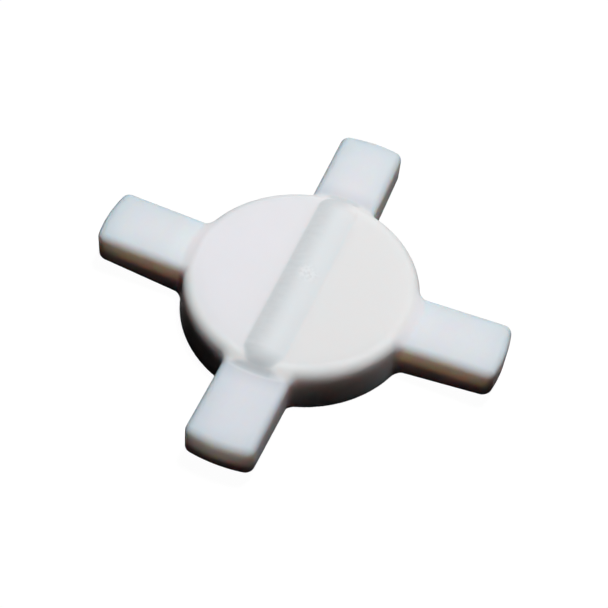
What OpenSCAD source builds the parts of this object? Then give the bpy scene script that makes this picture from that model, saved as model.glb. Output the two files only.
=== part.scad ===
/* [Overall] */
// Span across two opposite arm tips
span = 90; // [84:1:110]

/* [Hub] */
// Diameter of the hub where its side would meet the flat top
hub_d = 49.5; // [46:0.5:56]
// Height of the hub's flat top above the surface it rests on
hub_h = 10.8; // [10:0.1:13]
// Radius of the rounded top rim
rim_r = 2.4; // [1:0.1:3.2]
// Radius of the edge around the hub's underside
foot_r = 0.4; // [0.2:0.1:0.8]
// Draft of the hub's side, which widens towards the underside
hub_draft = 4.5; // [1:0.5:7]

/* [Arms] */
// Number of arms around the hub
arm_count = 4; // [2, 4, 6]
// Width of an arm
arm_w = 14.6; // [10:0.1:16]
// Drop from the hub's flat top to an arm's top face, at the hub's edge
arm_step = 1.6; // [0.8:0.05:2]
// Angle at which an arm's top face rises towards its tip
arm_rise = 2.7; // [0.5:0.1:3.2]
// Height of an arm's underside above the resting face, at the hub's foot
arm_clear = 0.4; // [0.4:0.1:1.5]
// Angle at which an arm's underside rises towards its tip
arm_lift = 7.4; // [4:0.1:7.6]
// Radius of an arm's rounded top edges
arm_edge_r = 1.7; // [0.8:0.1:2.2]
// Radius of an arm's bottom edges
arm_foot_r = 0.7; // [0.2:0.1:0.8]
// Radius of the bow of an arm's tip, seen from above
tip_bow_r = 30; // [20:1:45]
// Radius of an arm's two tip corners, seen from above
tip_corner_r = 1.6; // [0.8:0.1:3]
// Radius of the hollow corner where an arm leaves the hub
root_r = 1.5; // [0.8:0.1:3]

/* [Magnet] */
// Diameter of the bar magnet
magnet_d = 6.35; // [4:0.05:7]
// Length of the bar magnet
magnet_l = 38.1; // [30:0.1:40]
// Chamfer around the magnet's two ends
magnet_chamfer = 0.5; // [0.2:0.1:1]
// Gap between the magnet and the plastic moulded around it
magnet_gap = 0; // [0:0.01:0.1]
// Thickness of plastic over the magnet
cover_t = 1.6; // [1:0.1:2.2]
// Width of the rib over the magnet, at the hub's flat top
rib_w = 8.5; // [6:0.1:10]
// Height of the rib above the hub's flat top
rib_h = 1.3; // [0.8:0.1:2]
// How far the rib's straight part runs past each end of the magnet
rib_past = 1.5; // [1:0.1:2]
// Radius that the rib's top edge is rounded to at its ends
rib_end_r = 4.5; // [3.5:0.1:5]

/* [Hidden] */

// Steps in a round outline, and in one rounded corner
round_steps = 96;
corner_steps = 6;
// How far a cutting shape reaches past what it cuts
past = 5;
// How far a cutting shape's plain sides stay clear of what it cuts
clear = 0.05;

// Hub: radius of its side, which widens downwards by its draft
hub_top_r = hub_d / 2;
function hub_side_r(z) = hub_top_r + (hub_h - z) * tan(hub_draft);
hub_foot_side_r = hub_side_r(0);

// Arms: heights of the top face and the underside at a distance x from the hub's axis
tip_x = span / 2;
arm_half_w = arm_w / 2;
arm_top_z = hub_h - arm_step;
function arm_top(x) = arm_top_z + (x - hub_top_r) * tan(arm_rise);
function arm_under(x) = arm_clear + (x - hub_foot_side_r) * tan(arm_lift);

// Arms start inside the hub, under its rounded rim, and their outline starts further in
arm_start_r = hub_foot_side_r - rim_r;
outline_start_x = hub_top_r / 2;

// Arm tips: centre of the bow, and of the corner that runs from the bow into the side
bow_x = tip_x - tip_bow_r;
corner_y = arm_half_w + clear - tip_corner_r;
corner_x = bow_x + sqrt(pow(tip_bow_r + clear - tip_corner_r, 2) - pow(corner_y, 2));
corner_a = atan2(corner_y, corner_x - bow_x);

// Arm roots: centre of the hollow corner, which touches the arm's side and the hub's side
root_hub_r = hub_side_r(arm_top_z / 2);
root_y = arm_half_w + root_r;
root_x = sqrt(pow(root_hub_r + root_r, 2) - pow(root_y, 2));
root_a = atan2(root_y, root_x);

// Rib: radius of its round section, half the length of its straight part, and where its
// solid ends, under the arms' top faces
rib_r = (pow(rib_w / 2, 2) + pow(rib_h, 2)) / (2 * rib_h);
rib_half_l = magnet_l / 2 + rib_past;
rib_sink = 0.4;
rib_base_z = arm_top_z - rib_sink;

// Magnet: it lies along Y, under the crown of the rib
magnet_z = hub_h + rib_h - cover_t - magnet_gap - magnet_d / 2;

// Points along an arc about [x, y], from angle a to angle b
function arc(x, y, r, a, b, n = corner_steps) =
    [for (i = [0 : n]) let (t = a + (b - a) * i / n) [x + r * cos(t), y + r * sin(t)]];

// Half of the hub's section: flat underside, rounded foot, drafted side, rounded rim
module hub_section() {
    polygon(concat(
        [[0, 0]],
        arc(hub_side_r(foot_r) - foot_r / cos(hub_draft), foot_r, foot_r, -90, hub_draft),
        arc(hub_side_r(hub_h - rim_r) - rim_r / cos(hub_draft), hub_h - rim_r, rim_r, hub_draft, 90),
        [[0, hub_h]]
    ));
}

module hub() {
    rotate([0, 0, 180 / arm_count]) rotate_extrude($fn = round_steps) hub_section();
}

// The outline that gives an arm's tip its two round corners, and runs on past the tip's bow
module arm_outline() {
    corner = arc(corner_x, corner_y, tip_corner_r, 90, corner_a);
    half = concat(
        [[outline_start_x, arm_half_w + clear]],
        corner,
        [[tip_x + past, corner[corner_steps][1]]]
    );
    polygon(concat(half, [for (i = [len(half) - 1 : -1 : 0]) [half[i][0], -half[i][1]]]));
}

// The ring that the arms are cut from: its top face and underside both rise outwards
module arm_ring() {
    end_r = tip_x + past;
    rotate([0, 0, 180 / arm_count])
        rotate_extrude($fn = round_steps)
            polygon([
                [arm_start_r, arm_under(arm_start_r)],
                [end_r, arm_under(end_r)],
                [end_r, arm_top(end_r)],
                [arm_start_r, arm_top(arm_start_r)]
            ]);
}

// A bar along X with two round edges on its upper side
module edge_bar(half_w, edge_r, depth) {
    round_y = half_w - edge_r;
    rotate([90, 0, 90])
        linear_extrude(tip_x + past)
            polygon(concat(
                [[half_w, -depth]],
                arc(round_y, -edge_r, edge_r, 0, 90),
                arc(-round_y, -edge_r, edge_r, 90, 180),
                [[-half_w, -depth]]
            ));
}

// The bowed tip with its upper and lower edges rounded, turned about the centre of the bow
module tip_rounder() {
    top_z = arm_top(tip_x);
    under_z = arm_under(tip_x);
    translate([bow_x, 0, 0])
        rotate([0, 0, 180]) rotate_extrude($fn = round_steps)
            polygon(concat(
                [[0, top_z + past]],
                arc(tip_bow_r - arm_edge_r, top_z - arm_edge_r, arm_edge_r, 90, 0),
                arc(tip_bow_r - arm_foot_r, under_z + arm_foot_r, arm_foot_r, 0, -90),
                [[0, -past]]
            ));
}

// One arm along +X: its outline, cut from the ring, with all its edges rounded
module arm() {
    intersection() {
        translate([0, 0, -past]) linear_extrude(hub_h + 2 * past) arm_outline();
        arm_ring();
        translate([0, 0, arm_top(0) + clear])
            rotate([0, -arm_rise, 0]) edge_bar(arm_half_w, arm_edge_r, 2 * hub_h);
        translate([0, 0, arm_under(0) - clear])
            rotate([0, -arm_lift, 0]) mirror([0, 0, 1])
                edge_bar(arm_half_w + clear, arm_foot_r, 2 * hub_h);
        tip_rounder();
    }
}

// The hollow corner on one side of an arm, with the arm's round edge carried around it
module root_web() {
    reach = root_r + arm_edge_r + clear;
    wedge = reach + root_r;
    section = concat(
        [[root_r, -2 * hub_h]],
        arc(root_r + arm_edge_r, -arm_edge_r, arm_edge_r, 180, 90),
        [[reach, 0], [reach, -2 * hub_h]]
    );
    intersection() {
        translate([0, 0, arm_clear])
            linear_extrude(hub_h)
                polygon([
                    [root_x, root_y],
                    [root_x - wedge * cos(root_a), root_y - wedge * sin(root_a)],
                    [root_x - wedge, root_y - wedge],
                    [root_x, root_y - wedge]
                ]);
        translate([0, 0, arm_top(0)])
            rotate([0, -arm_rise, 0])
                translate([root_x / cos(arm_rise), root_y, 0])
                    rotate_extrude($fn = round_steps) polygon(section);
    }
}

module arms() {
    for (i = [0 : arm_count - 1]) {
        rotate([0, 0, i * 360 / arm_count]) {
            arm();
            root_web();
            mirror([0, 1, 0]) root_web();
        }
    }
}

// The magnet's shape along Y, grown by a gap all over
module magnet_shape(gap) {
    r = magnet_d / 2 + gap;
    end = magnet_l / 2 + gap;
    translate([0, 0, magnet_z])
        rotate([90, 0, 0])
            rotate_extrude($fn = round_steps)
                polygon([
                    [0, -end],
                    [r - magnet_chamfer, -end],
                    [r, magnet_chamfer - end],
                    [r, end - magnet_chamfer],
                    [r - magnet_chamfer, end],
                    [0, end]
                ]);
}

// The low round ridge over the magnet: its rounded ends run down over the hub's rim
module rib() {
    reach = rib_half_l + rib_end_r + rib_r + past;
    steps = 3 * corner_steps;
    intersection() {
        translate([0, 0, hub_h + rib_h - rib_r])
            rotate([90, 0, 0])
                rotate_extrude($fn = round_steps)
                    polygon(concat(
                        [[0, -rib_half_l - rib_end_r]],
                        arc(rib_r - rib_end_r, -rib_half_l, rib_end_r, -90, 0, steps),
                        arc(rib_r - rib_end_r, rib_half_l, rib_end_r, 0, 90, steps),
                        [[0, rib_half_l + rib_end_r]]
                    ));
        translate([-reach, -reach, rib_base_z]) cube(2 * reach);
    }
}

module ptfe_body() {
    color("whitesmoke")
        difference() {
            union() {
                hub();
                arms();
                rib();
            }
            magnet_shape(magnet_gap);
        }
}

module bar_magnet() {
    color("dimgray") magnet_shape(0);
}

ptfe_body();
bar_magnet();
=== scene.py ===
"""A magnetic stir bar on a white floor.

Its white plastic body is modelled here as one smooth moulded form, with the soft blends that
a moulding has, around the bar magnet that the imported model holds. All lengths are in metres.
"""

import math

import bpy
import numpy as np
from mathutils import Matrix, Vector


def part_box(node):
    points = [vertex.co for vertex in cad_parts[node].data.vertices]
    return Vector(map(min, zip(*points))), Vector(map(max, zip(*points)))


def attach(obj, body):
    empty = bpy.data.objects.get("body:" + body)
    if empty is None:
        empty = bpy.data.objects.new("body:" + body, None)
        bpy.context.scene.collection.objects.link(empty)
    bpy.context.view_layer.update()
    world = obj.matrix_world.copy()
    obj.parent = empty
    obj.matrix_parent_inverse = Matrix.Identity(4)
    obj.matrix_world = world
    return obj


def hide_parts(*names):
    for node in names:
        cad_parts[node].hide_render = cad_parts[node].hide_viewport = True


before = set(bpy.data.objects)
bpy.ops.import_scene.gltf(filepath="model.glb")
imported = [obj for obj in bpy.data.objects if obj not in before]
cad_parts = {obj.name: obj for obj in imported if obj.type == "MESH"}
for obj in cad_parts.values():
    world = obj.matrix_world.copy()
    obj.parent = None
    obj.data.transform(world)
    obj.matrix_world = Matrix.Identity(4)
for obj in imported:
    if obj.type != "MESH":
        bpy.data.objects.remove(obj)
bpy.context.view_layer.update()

MM = 0.001

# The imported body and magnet, which the smooth form is worked out from
body_low, body_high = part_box("ptfe_body")
_, magnet_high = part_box("bar_magnet")
TIP_X = body_high[0]
MAGNET_HALF_L = magnet_high[1]

# Rib: a low round ridge over the magnet, with rounded ends. It goes down to RIB_SINK below the
# arms' top, where its ends reach the hub's edge.
RIB_H = 1.3 * MM
RIB_HALF_W = 4.25 * MM
RIB_R = (RIB_HALF_W ** 2 + RIB_H ** 2) / (2 * RIB_H)
RIB_FOOT_R = 0.3 * MM
RIB_SINK = 0.4 * MM
RIB_HALF_L = MAGNET_HALF_L + 1.5 * MM
RIB_END_R = 4.5 * MM

# Hub: a low disc, wider at its foot, with a rounded rim
HUB_H = 10.8 * MM
HUB_R = 24.75 * MM
HUB_DRAFT = math.radians(4.5)
HUB_FOOT_R = HUB_R + HUB_H * math.tan(HUB_DRAFT)
RIM_R = 2.4 * MM
FOOT_R = 0.4 * MM
RIB_AXIS_Z = HUB_H + RIB_H - RIB_R

# Arms: the top rises a little towards the tip, and the underside rises more
ARM_HALF_W = 7.3 * MM
ARM_TOP_Z = HUB_H - 1.6 * MM
ARM_RISE = math.radians(2.7)
ARM_UNDER_Z = 0.4 * MM
ARM_LIFT = math.radians(7.4)
ARM_EDGE_R = 1.7 * MM
ARM_FOOT_R = 0.7 * MM
TIP_BOW_R = 30 * MM
TIP_CORNER_R = 1.6 * MM

# The hollow corner between the hub and an arm: beside the arm, on top of a side arm, and on
# top of an arm that the magnet points at
ROOT_R = 1.5 * MM
STEP_FOOT_R = 1.3 * MM
END_FOOT_R = 1.2 * MM

# Mesh: the size of a face, and the step that slopes are measured over
FACE_SIZE = 0.36 * MM
SLOPE_STEP = 0.005 * MM

# Camera, fitted to the photograph: where it looks, and from where. Its distance is in half
# spans, and the half span is so many pixels wide at that distance.
PICTURE_W = 608
HALF_SPAN_PIXELS = 209.0
DISTANCE_IN_HALF_SPANS = 6.8
CAMERA_AZIMUTH = math.radians(16.4)
CAMERA_ELEVATION = math.radians(51.4)
CAMERA_ROLL = math.radians(6.65)
CAMERA_DISTANCE = DISTANCE_IN_HALF_SPANS * TIP_X
CAMERA_TARGET = Vector((0.0098 * TIP_X, 0.0395 * TIP_X, 0))
NEAREST_SEEN = 10 * MM
SENSOR_W = 36.0
FOCAL_L = SENSOR_W * HALF_SPAN_PIXELS * DISTANCE_IN_HALF_SPANS / PICTURE_W

# Stage: a white world and floor that give the object little light, and one soft lamp
WORLD_FILL = 0.004
WORLD_WHITE = 1.0
FLOOR_HALF_W = 3.0
FLOOR_Z = -0.02 * MM
FLOOR_BOUNCE = 0.004
FLOOR_SHADED = 0.05
FLOOR_GLOW = 0.975
LAMP_AZIMUTH = math.radians(150)
LAMP_ELEVATION = math.radians(79)
LAMP_DISTANCE = 0.6
LAMP_SIZE = 0.12
LAMP_WATTS = 3.4


# --- Camera ---------------------------------------------------------------------------------

def direction(azimuth, elevation):
    """The way to a place seen from the object. Azimuth 0 is in front of it, 90 to its right."""
    level = math.cos(elevation)
    return Vector((math.sin(azimuth) * level, -math.cos(azimuth) * level, math.sin(elevation)))


def make_camera():
    """The photograph's view: from in front, above and a little to the right, and rolled."""
    back = direction(CAMERA_AZIMUTH, CAMERA_ELEVATION)
    level = Vector((math.cos(CAMERA_AZIMUTH), math.sin(CAMERA_AZIMUTH), 0))
    upright = back.cross(level)
    right = math.cos(CAMERA_ROLL) * level + math.sin(CAMERA_ROLL) * upright
    up = math.cos(CAMERA_ROLL) * upright - math.sin(CAMERA_ROLL) * level
    data = bpy.data.cameras.new("camera")
    data.sensor_width = SENSOR_W
    data.lens = FOCAL_L
    data.clip_start = NEAREST_SEEN
    camera = bpy.data.objects.new("camera", data)
    turn = Matrix((right, up, back)).transposed().to_4x4()
    camera.matrix_world = Matrix.Translation(CAMERA_TARGET + back * CAMERA_DISTANCE) @ turn
    bpy.context.scene.collection.objects.link(camera)
    bpy.context.scene.camera = camera


# --- The body's form ------------------------------------------------------------------------
# Each form is a function that is negative inside, zero on the surface and positive outside.

def common(a, b, r):
    """What two forms have in common, with the edge where they meet rounded to radius r."""
    corner = np.hypot(np.maximum(a + r, 0), np.maximum(b + r, 0))
    return np.minimum(np.maximum(a, b), -r) + corner


def joined(a, b, r):
    """Two forms joined, with the hollow corner where they meet filled to radius r."""
    corner = np.hypot(np.maximum(r - a, 0), np.maximum(r - b, 0))
    return np.maximum(np.minimum(a, b), r) - corner


def hub_form(x, y, z):
    """A disc that is wider at its foot, with a rounded rim."""
    side_r = HUB_R + (HUB_H - z) * math.tan(HUB_DRAFT)
    side = (np.hypot(x, y) - side_r) * math.cos(HUB_DRAFT)
    return common(side, z - HUB_H, RIM_R)


def arms_form(x, y, z):
    """All four arms at once: each point is turned into the arm that it is nearest to."""
    along = np.maximum(np.abs(x), np.abs(y))
    across = np.minimum(np.abs(x), np.abs(y))
    bow = np.hypot(along - (TIP_X - TIP_BOW_R), across) - TIP_BOW_R
    plan = common(across - ARM_HALF_W, bow, TIP_CORNER_R)
    top_z = ARM_TOP_Z + (along - HUB_R) * math.tan(ARM_RISE)
    under_z = ARM_UNDER_Z + (along - HUB_FOOT_R) * math.tan(ARM_LIFT)
    upper = common(plan, (z - top_z) * math.cos(ARM_RISE), ARM_EDGE_R)
    return common(upper, (under_z - z) * math.cos(ARM_LIFT), ARM_FOOT_R)


def rib_form(x, y, z):
    """The top of a lying bar with rounded ends, cut off a little below the arms' top."""
    round_side = np.hypot(x, z - RIB_AXIS_Z) - RIB_R
    ridge = common(round_side, np.abs(y) - RIB_HALF_L - RIB_END_R, RIB_END_R)
    return np.maximum(ridge, ARM_TOP_Z - RIB_SINK - z)


def root_radius(x, y):
    """How round the hollow corner between hub and arms is: more beside an arm than on its top."""
    from_side = (ARM_HALF_W - np.minimum(np.abs(x), np.abs(y))) / ARM_EDGE_R
    share = np.clip(from_side, 0, 1)
    share = share * share * (3 - 2 * share)  # a smooth step
    on_top = np.where(np.abs(y) > np.abs(x), END_FOOT_R, STEP_FOOT_R)
    return ROOT_R + share * (on_top - ROOT_R)


def body_form(x, y, z):
    """The whole body: hub, arms and rib, cut flat at the floor with a small round edge."""
    form = joined(hub_form(x, y, z), arms_form(x, y, z), root_radius(x, y))
    form = joined(form, rib_form(x, y, z), RIB_FOOT_R)
    return common(form, -z, FOOT_R)


# --- From a form to a mesh ------------------------------------------------------------------

# A grid cell's corners, and its edges as pairs of corners
CORNERS = np.array([(i, j, k) for i in (0, 1) for j in (0, 1) for k in (0, 1)])
EDGES = [(a, b) for a in range(8) for b in range(a + 1, 8)
         if np.abs(CORNERS[a] - CORNERS[b]).sum() == 1]


def slope(form, points):
    """The form's gradient at each point."""
    columns = []
    for axis in range(3):
        shift = np.zeros(3)
        shift[axis] = SLOPE_STEP
        rise = form(*(points + shift).T) - form(*(points - shift).T)
        columns.append(rise / (2 * SLOPE_STEP))
    return np.stack(columns, axis=1)


def onto_surface(form, points, steps=3):
    """The points, moved straight onto the form's surface."""
    for _ in range(steps):
        g = slope(form, points)
        points = points - g * (form(*points.T) / (g * g).sum(axis=1))[:, None]
    return points


def crossing_middles(value, cell):
    """The middle of the places where the surface crosses each cell's edges, within the cell."""
    at = [value[tuple((cell + corner).T)] for corner in CORNERS]
    total = np.zeros((len(cell), 3))
    crossed = np.zeros(len(cell))
    for a, b in EDGES:
        cut = (at[a] < 0) != (at[b] < 0)
        share = np.where(cut, at[a] / np.where(cut, at[a] - at[b], 1), 0)[:, None]
        total += np.where(cut[:, None], CORNERS[a] + share * (CORNERS[b] - CORNERS[a]), 0)
        crossed += cut
    return total / crossed[:, None]


def faces_across(solid, number, axis, leaving):
    """A face across each grid edge along the axis that leaves, or else enters, the solid."""
    first = [slice(1, -1)] * 3
    second = [slice(1, -1)] * 3
    first[axis] = slice(0, -1)
    second[axis] = slice(1, None)
    here, there = solid[tuple(first)], solid[tuple(second)]
    edge = np.argwhere((here != there) & (here == leaving)) + [s.start for s in first]
    u, v = [other for other in range(3) if other != axis]
    ring = []
    for du, dv in ((0, 0), (1, 0), (1, 1), (0, 1)):
        near = edge.copy()
        near[:, u] -= du
        near[:, v] -= dv
        ring.append(number[tuple(near.T)])
    quad = np.stack(ring, axis=1)
    # keep the outer side outwards: the order of u and v flips it for the middle axis
    return quad if leaving == (axis != 1) else quad[:, ::-1]


def net_of(form, low, high, size):
    """Vertices and four-sided faces of the form's surface: one vertex in each grid cell that it
    crosses, and one face across each grid edge that it crosses."""
    # the grid reaches past the form by more than a cell on every side
    axes = [np.arange(lo - 1.5 * size, hi + 2.5 * size, size) for lo, hi in zip(low, high)]
    value = form(*np.meshgrid(*axes, indexing="ij", sparse=True))
    solid = value < 0
    cells = tuple(n - 1 for n in value.shape)
    count = sum(solid[i:i + cells[0], j:j + cells[1], k:k + cells[2]].astype(np.int8)
                for i, j, k in CORNERS)
    cell = np.argwhere((count > 0) & (count < len(CORNERS)))
    number = np.full(cells, -1, np.int64)
    number[tuple(cell.T)] = np.arange(len(cell))
    start = np.array([axis[0] for axis in axes])
    points = start + (cell + crossing_middles(value, cell)) * size
    faces = [faces_across(solid, number, axis, leaving)
             for axis in range(3) for leaving in (True, False)]
    return points, np.vstack(faces)


def evened(form, points, faces, rounds=4):
    """The vertices, each moved half way to the middle of its neighbours and back onto the
    surface, a few times over."""
    for _ in range(rounds):
        total = np.zeros_like(points)
        count = np.zeros(len(points))
        for a, b in ((0, 1), (1, 2), (2, 3), (3, 0)):
            np.add.at(total, faces[:, a], points[faces[:, b]])
            np.add.at(total, faces[:, b], points[faces[:, a]])
            np.add.at(count, faces[:, a], 1)
            np.add.at(count, faces[:, b], 1)
        points = onto_surface(form, 0.5 * points + 0.5 * total / count[:, None], 2)
    return points


def make_body():
    """The white plastic body, in one piece, with its normals taken from the form itself."""
    points, faces = net_of(body_form, body_low, body_high, FACE_SIZE)
    points = evened(body_form, onto_surface(body_form, points), faces)
    mesh = bpy.data.meshes.new("moulded_body")
    mesh.from_pydata(points.tolist(), [], faces.tolist())
    mesh.polygons.foreach_set("use_smooth", [True] * len(faces))
    outward = slope(body_form, points)
    outward /= np.linalg.norm(outward, axis=1)[:, None]
    mesh.normals_split_custom_set_from_vertices(outward.tolist())
    body = bpy.data.objects.new("moulded_body", mesh)
    bpy.context.scene.collection.objects.link(body)
    body.data.materials.append(ptfe_material())
    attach(body, "root")
    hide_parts("ptfe_body")


def dress_magnet():
    """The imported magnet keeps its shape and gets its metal."""
    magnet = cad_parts["bar_magnet"]
    magnet.data.materials.clear()
    magnet.data.materials.append(magnet_material())


# --- Node helpers ---------------------------------------------------------------------------

def new_material(name):
    """A material with nodes, its node tree and its Principled shader."""
    material = bpy.data.materials.new(name)
    material.use_nodes = True
    nodes = material.node_tree.nodes
    return material, material.node_tree, nodes["Principled BSDF"]


def maths(tree, operation, *values):
    """A Math node's result. Each value is a number or another node's output."""
    node = tree.nodes.new("ShaderNodeMath")
    node.operation = operation
    for socket, value in zip(node.inputs, values):
        if isinstance(value, bpy.types.NodeSocket):
            tree.links.new(value, socket)
        else:
            socket.default_value = value
    return node.outputs[0]


def product(tree, first, *others):
    """The values multiplied together."""
    total = first
    for value in others:
        total = maths(tree, "MULTIPLY", total, value)
    return total


def length_of(tree, *sides):
    """The distance whose parts along each axis are the sides."""
    total = 0
    for side in sides:
        total = maths(tree, "ADD", total, maths(tree, "MULTIPLY", side, side))
    return maths(tree, "SQRT", total)


def eased(tree, value, start, full):
    """0 where the value hasn't reached start, 1 where it is past full, and smooth between."""
    step = tree.nodes.new("ShaderNodeMapRange")
    step.interpolation_type = "SMOOTHSTEP"
    step.inputs["From Min"].default_value = start
    step.inputs["From Max"].default_value = full
    tree.links.new(value, step.inputs["Value"])
    return step.outputs["Result"]


def blended(tree, share, first, second):
    """The first colour where the share is 0, and the second where it is 1."""
    mix = tree.nodes.new("ShaderNodeMix")
    mix.data_type = "RGBA"
    tree.links.new(share, mix.inputs["Factor"])
    for socket, colour in ((mix.inputs["A"], first), (mix.inputs["B"], second)):
        if isinstance(colour, bpy.types.NodeSocket):
            tree.links.new(colour, socket)
        else:
            socket.default_value = (*colour, 1)
    return mix.outputs["Result"]


def noise(tree, vector, scale, detail):
    """A noise texture's value."""
    texture = tree.nodes.new("ShaderNodeTexNoise")
    texture.inputs["Scale"].default_value = scale
    texture.inputs["Detail"].default_value = detail
    tree.links.new(vector, texture.inputs["Vector"])
    return texture.outputs["Fac"]


# --- The white plastic ----------------------------------------------------------------------
# A place on the part is a list of steps. Each step has the name of a measure from
# measures_of(), the value where the place starts to show and the value where it shows in full.

IN_ARMS = [("radius", HUB_R + 0.2 * MM, HUB_R + 2 * MM)]
NEAR_ARM = [("y", -20 * MM, -24 * MM)]
NEAR_TIP = [("y", -40 * MM, -43.5 * MM)]
FAR_ARM = [("y", 20 * MM, 26 * MM)]
RIGHT_TIP = [("x", 43 * MM, 44.5 * MM)]
SIDE_ARMS = [("off_y", 10 * MM, 8 * MM)]
# Painted shade on the near and far arms just below the step down from the hub
BELOW_END_STEPS = [("off_y", 30 * MM, 25 * MM), ("off_x", 7.5 * MM, 5 * MM)]
SIDE_ROOTS = [
    ("radius", HUB_R - 1.5 * MM, HUB_R),
    ("radius", HUB_R + 7 * MM, HUB_R + 0.5 * MM),
    ("off_y", 9 * MM, 7.5 * MM),
    ("depth", 1.5 * MM, 0.5 * MM),
]
BELOW_EDGE = [("depth", 0.2 * MM, 1.2 * MM)]
LOW_DOWN = [("depth", 3.5 * MM, 5.5 * MM)]

LEFT_TO_RIGHT = [("x", -HUB_R, HUB_R)]
RIGHT_OF_HUB = [("x", -16 * MM, 10 * MM)]
FRONT_RIM = [
    ("radius", HUB_R - 2.8 * MM, HUB_R - 1 * MM),
    ("z", HUB_H - 4 * MM, HUB_H - 1.5 * MM),
    ("y", -2 * MM, -12 * MM),
]
LEFT_FOOT = [("x", 5 * MM, -12 * MM), ("z", HUB_H - 2.5 * MM, HUB_H - 5.5 * MM)]

ON_RIB = [("from_core", RIB_END_R + 0.25 * MM, RIB_END_R + 0.02 * MM)]
RIB_FAR_CORNER = [("y", 17 * MM, 22 * MM), ("x", 0, 4 * MM)]
RIB_FAR_END = [("y", RIB_HALF_L - 1 * MM, RIB_HALF_L + 2 * MM)]
RIB_LEFT_SIDE = [("x", 1.6 * MM, -2.6 * MM), ("past_rib", 3 * MM, 0.5 * MM)]

# The step down from the hub to an arm, in front of the magnet's end, where a darker, cooler
# colour is painted shade.
# The near one shows over nearly the arm's whole width, and the far one only in the middle. Away
# from the middle it starts lower: by BOW_DROP at BOW_HALF_W, and with the square of the distance
# elsewhere.
ON_STEP = [
    ("bowed_z", HUB_H - 0.02 * MM, HUB_H - 0.8 * MM),
    ("off_y", HUB_R - 3 * MM, HUB_R - 2 * MM),
    ("radius", HUB_R + 1.6 * MM, HUB_R + 0.8 * MM),
]
STEP_MIDDLE = [("off_x", 4.5 * MM, 2.5 * MM)]
STEP_WIDE = [("off_x", 7.5 * MM, 6 * MM), ("x", 6.5 * MM, 1.5 * MM)]
STEP_LOW = [("z", HUB_H - 0.8 * MM, HUB_H - 1.4 * MM)]
BOW_HALF_W = 5 * MM
BOW_DROP = 1.0 * MM

# Tints, and the colours that lie over them in turn. Most of these are painted light and shade.
HUB_LEFT_TINT = (0.828, 0.82, 0.87)
HUB_RIGHT_TINT = (0.80, 0.797, 0.797)
# Painted light on the front of the hub's rim, and painted shade low on its left side
HUB_PAINTED_LIGHT_AND_SHADE = [
    (FRONT_RIM, (0.96, 0.955, 0.97)),
    (LEFT_FOOT, (0.66, 0.67, 0.68)),
]
# Painted light: lighter colours in the hollow corners at the side arms' roots, lighter at the
# left
LEFT_ROOT_LIGHT = (0.86, 0.85, 0.88)
RIGHT_ROOT_LIGHT = (0.825, 0.82, 0.85)
ARM_TINT = (0.80, 0.79, 0.825)
# Painted shade low on the arms' sides
LOW_SIDE_SHADE = (0.67, 0.68, 0.74)
# The near arm is a little darker and bluer all over. The rest is painted light and shade: painted
# shade just below the steps at the near and far arms, painted light on the arms' sides just below
# their top edges (warm on the side arms), painted shade lower down on the side arms and the near
# tip, and painted shade on the right tip's end.
ARM_TONES_AND_PAINTED_LIGHT = [
    (NEAR_ARM, (0.775, 0.765, 0.815)),
    (BELOW_END_STEPS, (0.70, 0.69, 0.73)),
    (BELOW_EDGE + SIDE_ARMS, (0.91, 0.85, 0.81)),
    (BELOW_EDGE + FAR_ARM, (0.99, 0.985, 0.985)),
    (BELOW_EDGE + NEAR_TIP, (0.99, 0.98, 0.985)),
    (LOW_DOWN + SIDE_ARMS, LOW_SIDE_SHADE),
    (LOW_DOWN + NEAR_TIP, LOW_SIDE_SHADE),
    (BELOW_EDGE + RIGHT_TIP, (0.55, 0.54, 0.57)),
]
# The cover's cooler tint over the magnet; on the steps in front of the magnet's ends it is
# painted shade
COVER_TINT_AND_STEP_SHADE = (0.77, 0.80, 0.82)
# Painted shade on the rib's left flank, broken up by streaks
LEFT_FLANK_SHADE = (0.60, 0.63, 0.65)
# Painted shade on the rib's far end and at the foot of the near step
COVER_PAINTED_SHADE = [
    (RIB_FAR_END, (0.64, 0.67, 0.69)),
    (STEP_LOW + NEAR_ARM, (0.62, 0.66, 0.69)),
]

# A faint cloudiness in the hub, and fine streaks in the painted shade on the rib's left side
CLOUD_SCALE = 90
CLOUD_DETAIL = 3
CLOUD_SHARE = 0.5
CLOUD_TINT = (0.80, 0.80, 0.805)
STREAK_SCALE = (420, 900, 420)
STREAK_DETAIL = 3
STREAK_LEAST = 0.25
STREAK_RANGE = 0.5

# A small rubbed spot on the rib's crown
SCUFF_X = 0.8 * MM
SCUFF_Y = 0.6 * MM
SCUFF_R = 3.0 * MM
SCUFF = [("from_scuff", SCUFF_R, 0.3 * SCUFF_R)]
SCUFF_SHARE = 0.8
SPECK_SCALE = 1300
SPECK_DETAIL = 2
SPECK_RANGE = (0.38, 0.62)
DARK_SPECK = (0.725, 0.755, 0.775)
LIGHT_SPECK = (0.805, 0.84, 0.86)

# How far light spreads inside, how much more in the arms, what share of it is left over the
# magnet and on the steps in front of its ends, and how far red, green and blue reach
SPREAD = 6.5 * MM
MORE_IN_ARMS = 3.5 * MM
LEFT_OVER_MAGNET = 0.05
REACH = (1.0, 0.80, 0.77)
ARM_REACH = (1.25, 0.77, 0.6)

# What is the same all over
PTFE_SHADER = {
    "Subsurface Weight": 1.0,
    "Roughness": 0.42,
    "IOR": 1.35,
    "Specular IOR Level": 0.01,
}


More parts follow.
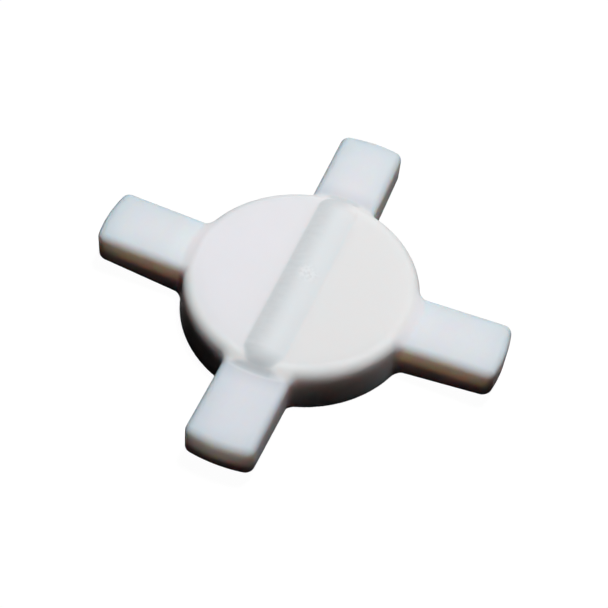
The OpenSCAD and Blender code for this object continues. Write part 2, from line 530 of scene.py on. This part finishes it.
def measures_of(tree):
    """Where on the part a point of the surface is, by several measures."""
    place = tree.nodes.new("ShaderNodeTexCoord").outputs["Object"]
    parts = tree.nodes.new("ShaderNodeSeparateXYZ")
    tree.links.new(place, parts.inputs[0])
    x, y, z = parts.outputs
    off_x = maths(tree, "ABSOLUTE", x)
    off_y = maths(tree, "ABSOLUTE", y)

    # how far it is below the top of the arms
    rise = math.tan(ARM_RISE)
    arm_top = product(tree, maths(tree, "MAXIMUM", off_x, off_y), rise)
    arm_top = maths(tree, "ADD", arm_top, ARM_TOP_Z - HUB_R * rise)

    # how far it is from the rib's core, whose distance from the rib's surface is RIB_END_R
    past_rib = maths(tree, "MAXIMUM", maths(tree, "SUBTRACT", off_y, RIB_HALF_L), 0)
    from_rib_axis = length_of(tree, x, maths(tree, "SUBTRACT", z, RIB_AXIS_Z))
    past_core = maths(tree, "SUBTRACT", from_rib_axis, RIB_R - RIB_END_R)
    from_core = length_of(tree, maths(tree, "MAXIMUM", past_core, 0), past_rib)

    off_middle = maths(tree, "DIVIDE", off_x, BOW_HALF_W)
    bow = product(tree, off_middle, off_middle, BOW_DROP)
    from_scuff = length_of(tree, maths(tree, "SUBTRACT", x, SCUFF_X),
                           maths(tree, "SUBTRACT", y, SCUFF_Y))
    return {
        "place": place,
        "x": x,
        "y": y,
        "z": z,
        "off_x": off_x,
        "off_y": off_y,
        "radius": length_of(tree, x, y),
        "depth": maths(tree, "SUBTRACT", arm_top, z),
        "past_rib": past_rib,
        "from_core": from_core,
        "bowed_z": maths(tree, "ADD", z, bow),
        "from_scuff": from_scuff,
    }


def shown(tree, at, place):
    """How far a place shows: 1 in it, 0 away from it, and smooth between."""
    return product(tree, *(eased(tree, at[name], start, full) for name, start, full in place))


def layered(tree, at, tint, shades):
    """The tint with each shade laid over it in turn, as far as the shade's place shows."""
    for place, shade in shades:
        tint = blended(tree, shown(tree, at, place), tint, shade)
    return tint


def on_rib_of(tree, at):
    """1 on the rib and 0 beside it. Its far right corner melts into the hub."""
    off_corner = maths(tree, "SUBTRACT", 1, shown(tree, at, RIB_FAR_CORNER))
    return product(tree, shown(tree, at, ON_RIB), off_corner)


def on_step_of(tree, at):
    """1 on the step down to an arm in front of the magnet's end. The near one is wider. The
    colour there is painted shade.
    """
    near = shown(tree, at, NEAR_ARM + STEP_WIDE)
    width = maths(tree, "MAXIMUM", shown(tree, at, STEP_MIDDLE), near)
    return product(tree, shown(tree, at, ON_STEP), width)


def hub_tint_and_painted_light_of(tree, at):
    """The hub: rosier at its left, a little cloudy, with painted light on its front rim and
    painted shade low on its left side.
    """
    tint = blended(tree, shown(tree, at, RIGHT_OF_HUB), HUB_LEFT_TINT, HUB_RIGHT_TINT)
    cloud = noise(tree, at["place"], CLOUD_SCALE, CLOUD_DETAIL)
    tint = blended(tree, product(tree, cloud, CLOUD_SHARE), tint, CLOUD_TINT)
    return layered(tree, at, tint, HUB_PAINTED_LIGHT_AND_SHADE)


def cover_tint_and_step_shade_of(tree, at, on_rib):
    """The thin cover over the magnet, cooler and darker, and the same colour as painted shade on
    the steps in front of its ends; with painted streaky shade on the rib's left side, painted
    shade at the rib's far end and at the near step's foot, and the rubbed spot.
    """
    stretch = tree.nodes.new("ShaderNodeMapping")
    stretch.inputs["Scale"].default_value = STREAK_SCALE
    tree.links.new(at["place"], stretch.inputs["Vector"])
    streaks = noise(tree, stretch.outputs[0], 1.0, STREAK_DETAIL)
    uneven = maths(tree, "ADD", product(tree, streaks, STREAK_RANGE), STREAK_LEAST)
    # painted shade on the rib's left flank, in streaks
    left_flank_shade = product(tree, shown(tree, at, RIB_LEFT_SIDE), on_rib, uneven)
    tint = blended(tree, left_flank_shade, COVER_TINT_AND_STEP_SHADE, LEFT_FLANK_SHADE)
    tint = layered(tree, at, tint, COVER_PAINTED_SHADE)

    specks = eased(tree, noise(tree, at["place"], SPECK_SCALE, SPECK_DETAIL), *SPECK_RANGE)
    rubbed = blended(tree, specks, DARK_SPECK, LIGHT_SPECK)
    return blended(tree, product(tree, shown(tree, at, SCUFF), SCUFF_SHARE), tint, rubbed)


def ptfe_material():
    """White PTFE that light spreads in. Near the magnet only a thin cover of it is left, so
    there it looks cooler and light spreads less, and in the thin arms it spreads more. On the
    steps in front of the magnet's ends the same cooler, darker colour is painted shade, and light
    spreads less there too. Much of the rest of its colour is painted light and shade."""
    material, tree, shader = new_material("white_ptfe")
    at = measures_of(tree)
    in_arms = shown(tree, at, IN_ARMS)
    on_rib = on_rib_of(tree, at)
    # on the rib, and on the steps in front of the magnet's ends, where the colour is painted
    # shade
    on_rib_or_step = maths(tree, "MAXIMUM", on_rib, on_step_of(tree, at))

    # the arms' colour, with painted light and shade laid over it
    arm_tint_and_painted_light = layered(tree, at, ARM_TINT, ARM_TONES_AND_PAINTED_LIGHT)
    tint = blended(tree, in_arms, hub_tint_and_painted_light_of(tree, at), arm_tint_and_painted_light)
    # painted light in the hollow corners at the side arms' roots
    root_light = blended(tree, shown(tree, at, LEFT_TO_RIGHT), LEFT_ROOT_LIGHT, RIGHT_ROOT_LIGHT)
    tint = blended(tree, shown(tree, at, SIDE_ROOTS), tint, root_light)
    tint = blended(tree, on_rib_or_step, tint, cover_tint_and_step_shade_of(tree, at, on_rib))
    tree.links.new(tint, shader.inputs["Base Color"])

    spread = maths(tree, "ADD", SPREAD, product(tree, in_arms, MORE_IN_ARMS))
    left = maths(tree, "ADD", product(tree, on_rib_or_step, LEFT_OVER_MAGNET - 1), 1)
    tree.links.new(product(tree, spread, left), shader.inputs["Subsurface Scale"])
    reach = blended(tree, in_arms, REACH, ARM_REACH)
    tree.links.new(reach, shader.inputs["Subsurface Radius"])
    for name, value in PTFE_SHADER.items():
        shader.inputs[name].default_value = value
    return material


# --- The magnet's metal ---------------------------------------------------------------------

GRAIN_SCALE = 900
GRAIN_DETAIL = 5
METAL_DARK = (0.19, 0.19, 0.20, 1)
METAL_LIGHT = (0.34, 0.34, 0.35, 1)
METAL_ROUGHNESS = 0.5


def magnet_material():
    """Dull grey cast alloy with a fine grain."""
    material, tree, shader = new_material("dull_magnet_metal")
    place = tree.nodes.new("ShaderNodeTexCoord").outputs["Object"]
    tint = tree.nodes.new("ShaderNodeValToRGB")
    tint.color_ramp.elements[0].color = METAL_DARK
    tint.color_ramp.elements[1].color = METAL_LIGHT
    tree.links.new(noise(tree, place, GRAIN_SCALE, GRAIN_DETAIL), tint.inputs["Fac"])
    tree.links.new(tint.outputs["Color"], shader.inputs["Base Color"])
    shader.inputs["Metallic"].default_value = 1.0
    shader.inputs["Roughness"].default_value = METAL_ROUGHNESS
    return material


# --- Stage: floor, world and lamp -----------------------------------------------------------

def grey(level):
    """A colour with the same red, green and blue."""
    return level, level, level, 1


def seen_directly(tree):
    """1 for rays that show the backdrop: camera, glossy and transmission."""
    path = tree.nodes.new("ShaderNodeLightPath")
    seen = maths(tree, "MAXIMUM", path.outputs["Is Camera Ray"], path.outputs["Is Glossy Ray"])
    return maths(tree, "MAXIMUM", seen, path.outputs["Is Transmission Ray"])


def chosen(tree, unseen, seen):
    """The first shader for rays that only carry light, and the second for rays that see it."""
    choose = tree.nodes.new("ShaderNodeMixShader")
    tree.links.new(seen_directly(tree), choose.inputs["Fac"])
    tree.links.new(unseen.outputs[0], choose.inputs[1])
    tree.links.new(seen.outputs[0], choose.inputs[2])
    return choose.outputs[0]


def make_world():
    """White where it is seen, and dim where it gives light."""
    world = bpy.data.worlds.new("white_room")
    bpy.context.scene.world = world
    world.use_nodes = True
    tree = world.node_tree
    tree.nodes.clear()
    backgrounds = []
    for strength in (WORLD_FILL, WORLD_WHITE):
        background = tree.nodes.new("ShaderNodeBackground")
        background.inputs["Color"].default_value = grey(1)
        background.inputs["Strength"].default_value = strength
        backgrounds.append(background)
    out = tree.nodes.new("ShaderNodeOutputWorld")
    tree.links.new(chosen(tree, *backgrounds), out.inputs["Surface"])


def floor_material():
    """White where it is seen, with the object's soft shadow, and dim to the light it bounces."""
    material = bpy.data.materials.new("white_floor")
    material.use_nodes = True
    tree = material.node_tree
    tree.nodes.clear()
    bounce = tree.nodes.new("ShaderNodeBsdfDiffuse")
    bounce.inputs["Color"].default_value = grey(FLOOR_BOUNCE)
    shaded = tree.nodes.new("ShaderNodeBsdfDiffuse")
    shaded.inputs["Color"].default_value = grey(FLOOR_SHADED)
    glow = tree.nodes.new("ShaderNodeEmission")
    glow.inputs["Strength"].default_value = FLOOR_GLOW
    seen = tree.nodes.new("ShaderNodeAddShader")
    tree.links.new(shaded.outputs[0], seen.inputs[0])
    tree.links.new(glow.outputs[0], seen.inputs[1])
    out = tree.nodes.new("ShaderNodeOutputMaterial")
    tree.links.new(chosen(tree, bounce, seen), out.inputs["Surface"])
    return material


def make_floor():
    """A wide flat floor, a hair below the object so that they don't share a face."""
    h = FLOOR_HALF_W
    mesh = bpy.data.meshes.new("floor")
    mesh.from_pydata([(-h, -h, 0), (h, -h, 0), (h, h, 0), (-h, h, 0)], [], [(0, 1, 2, 3)])
    floor = bpy.data.objects.new("floor", mesh)
    floor.location.z = FLOOR_Z
    bpy.context.scene.collection.objects.link(floor)
    floor.data.materials.append(floor_material())


def make_lamp():
    """A round soft lamp above and behind the object, aimed at it."""
    data = bpy.data.lights.new("key", "AREA")
    data.shape = "DISK"
    data.size = LAMP_SIZE
    data.energy = LAMP_WATTS
    away = direction(LAMP_AZIMUTH, LAMP_ELEVATION)
    lamp = bpy.data.objects.new("key", data)
    lamp.location = away * LAMP_DISTANCE
    lamp.rotation_mode = "QUATERNION"
    lamp.rotation_quaternion = away.to_track_quat("Z", "Y")
    bpy.context.scene.collection.objects.link(lamp)


bpy.context.scene.view_settings.view_transform = "Standard"
make_camera()
make_body()
dress_magnet()
make_world()
make_floor()
make_lamp()
